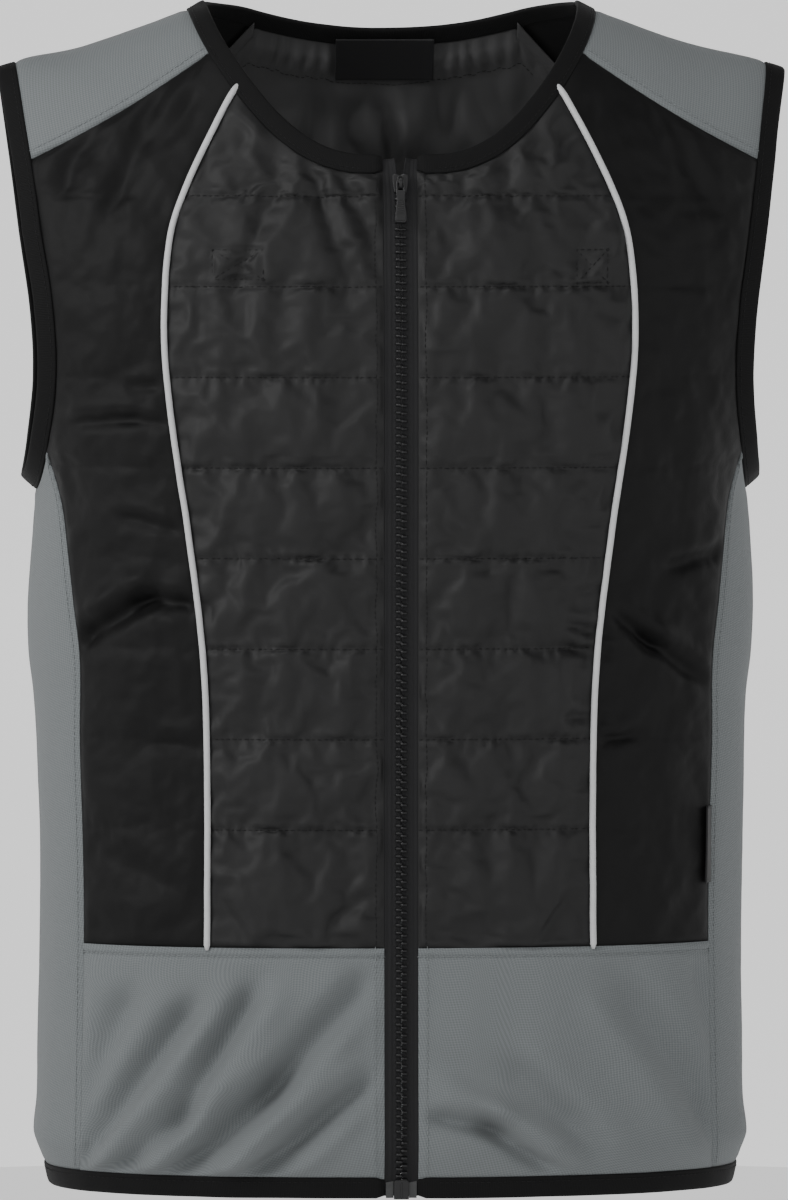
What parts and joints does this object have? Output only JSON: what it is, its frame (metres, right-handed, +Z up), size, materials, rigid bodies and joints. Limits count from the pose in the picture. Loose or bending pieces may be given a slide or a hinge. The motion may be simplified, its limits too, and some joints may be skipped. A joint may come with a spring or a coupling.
{
  "type": "cooling vest",
  "caption": "Sleeveless zip-front cooling vest in its worn shape, with quilted panels, plain yokes and lower bands, corded piping and bound edges.",
  "frame": {"origin": "middle of the shoulder line, between the two shoulder yokes, where the vest sits on the wearer", "axes": "+Z up along the body, -Y out of the chest towards the viewer of the front, +X to the wearer's left"},
  "size_m": [0.4642, 0.2496, 0.6924],
  "materials": {
    "black_nylon": "soft quilted nylon",
    "grey_knit": "matte knit",
    "black_binding": "matte elastic tape",
    "silver_piping": "silver-grey coated cord",
    "zip_tape": "woven tape",
    "black_plastic": "moulded, slightly glossy",
    "black_label": "smooth satin label"
  },
  "bodies": {
    "vest": {"front_centre_left": "black_nylon", "front_centre_right": "black_nylon", "front_side_left": "black_nylon", "front_side_right": "black_nylon", "back_panel": "black_nylon", "piping_left": "silver_piping", "piping_right": "silver_piping", "yoke_left": "grey_knit", "yoke_right": "grey_knit", "side_panel_left": "grey_knit", "side_panel_right": "grey_knit", "front_band_left": "grey_knit", "front_band_right": "grey_knit", "back_band": "grey_knit", "neck_binding": "black_binding", "armhole_binding_left": "black_binding", "armhole_binding_right": "black_binding", "hem_binding": "black_binding", "zip_tape_left": "zip_tape", "zip_tape_right": "zip_tape", "zip_chain": "black_plastic", "zip_slider": "black_plastic", "zip_box": "black_plastic", "neck_label": "black_label", "side_label": "black_label"},
    "pull": {"zip_pull": "black_plastic"}
  },
  "joints": [
    {"name": "pull_hinge", "type": "hinge", "parent": "vest", "child": "pull", "pos_m": [0, -0.11127, -0.08862], "axis": [-1, 0, 0], "range_deg": [0, 150]}
  ]
}
